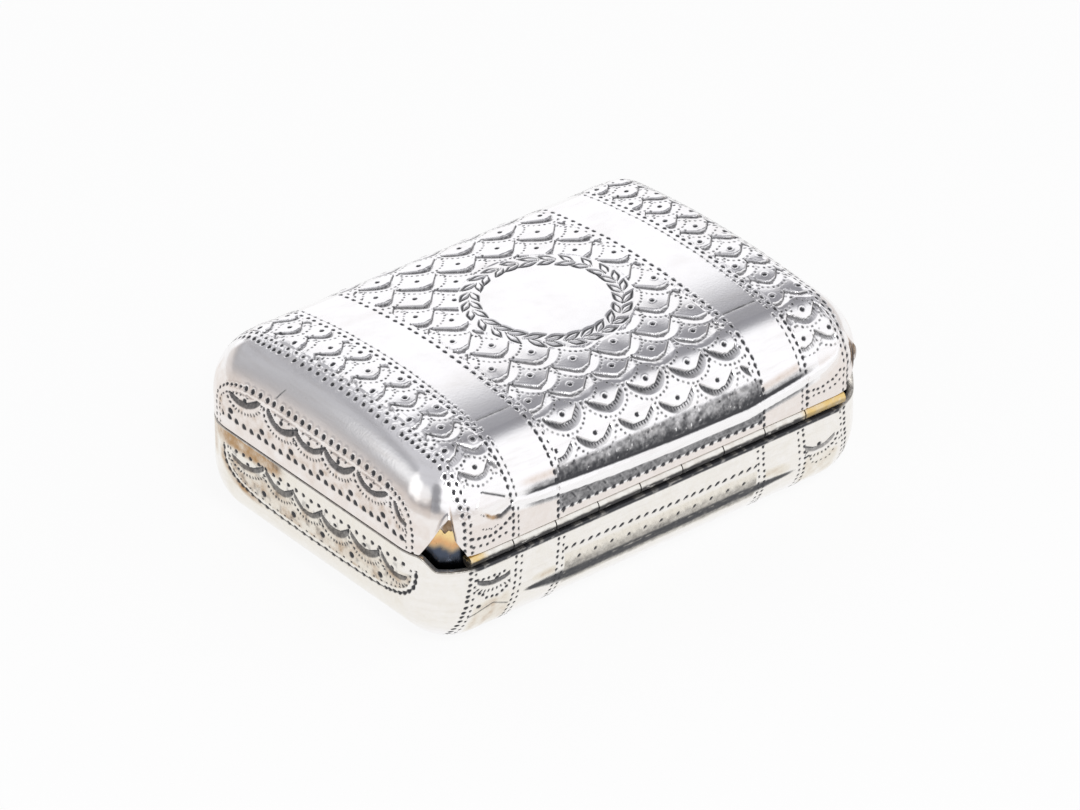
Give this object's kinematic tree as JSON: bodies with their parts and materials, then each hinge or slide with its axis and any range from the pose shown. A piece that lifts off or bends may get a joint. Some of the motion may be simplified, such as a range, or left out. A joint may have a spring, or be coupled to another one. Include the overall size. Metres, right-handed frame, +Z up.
{
  "type": "silver vinaigrette box",
  "caption": "Small cushion-shaped silver box with a full-length hinged lid and a gilt interior holding a hinged pierced grille over a shallow compartment.",
  "frame": {"origin": "centre of the bounding box's bottom, on the flat underside", "axes": "+X along the length and both hinges, +Y towards the lid hinge, +Z up"},
  "size_m": [0.04, 0.028, 0.0157],
  "materials": {
    "silver": "bright polished silver with dark tarnish in the engraving",
    "gilt": "gilded silver, soft polish"
  },
  "bodies": {
    "base": {"base_shell": "silver", "base_bezel": "gilt", "grille_seat": "gilt", "base_knuckle_1": "silver", "base_knuckle_2": "silver", "base_knuckle_3": "silver", "base_knuckle_4": "silver", "base_knuckle_5": "silver", "hinge_pin": "silver", "grille_lug_left": "gilt", "grille_lug_right": "gilt", "grille_pin": "gilt"},
    "lid": {"lid_shell": "silver", "lid_knuckle_1": "silver", "lid_knuckle_2": "silver", "lid_knuckle_3": "silver", "lid_knuckle_4": "silver"},
    "grille": {"grille_plate": "gilt", "grille_nib": "gilt", "grille_knuckle": "gilt"}
  },
  "joints": [
    {"name": "lid_hinge", "type": "hinge", "parent": "base", "child": "lid", "pos_m": [0, 0.01352, 0.00753], "axis": [-1, 0, 0], "range_deg": [0, 96]},
    {"name": "grille_hinge", "type": "hinge", "parent": "base", "child": "grille", "pos_m": [0, 0.01208, 0.0072], "axis": [-1, 0, 0], "range_deg": [0, 80]}
  ],
  "couplings": [
    {"joint": "grille_hinge", "follows": "lid_hinge", "ratio": 0.8}
  ]
}
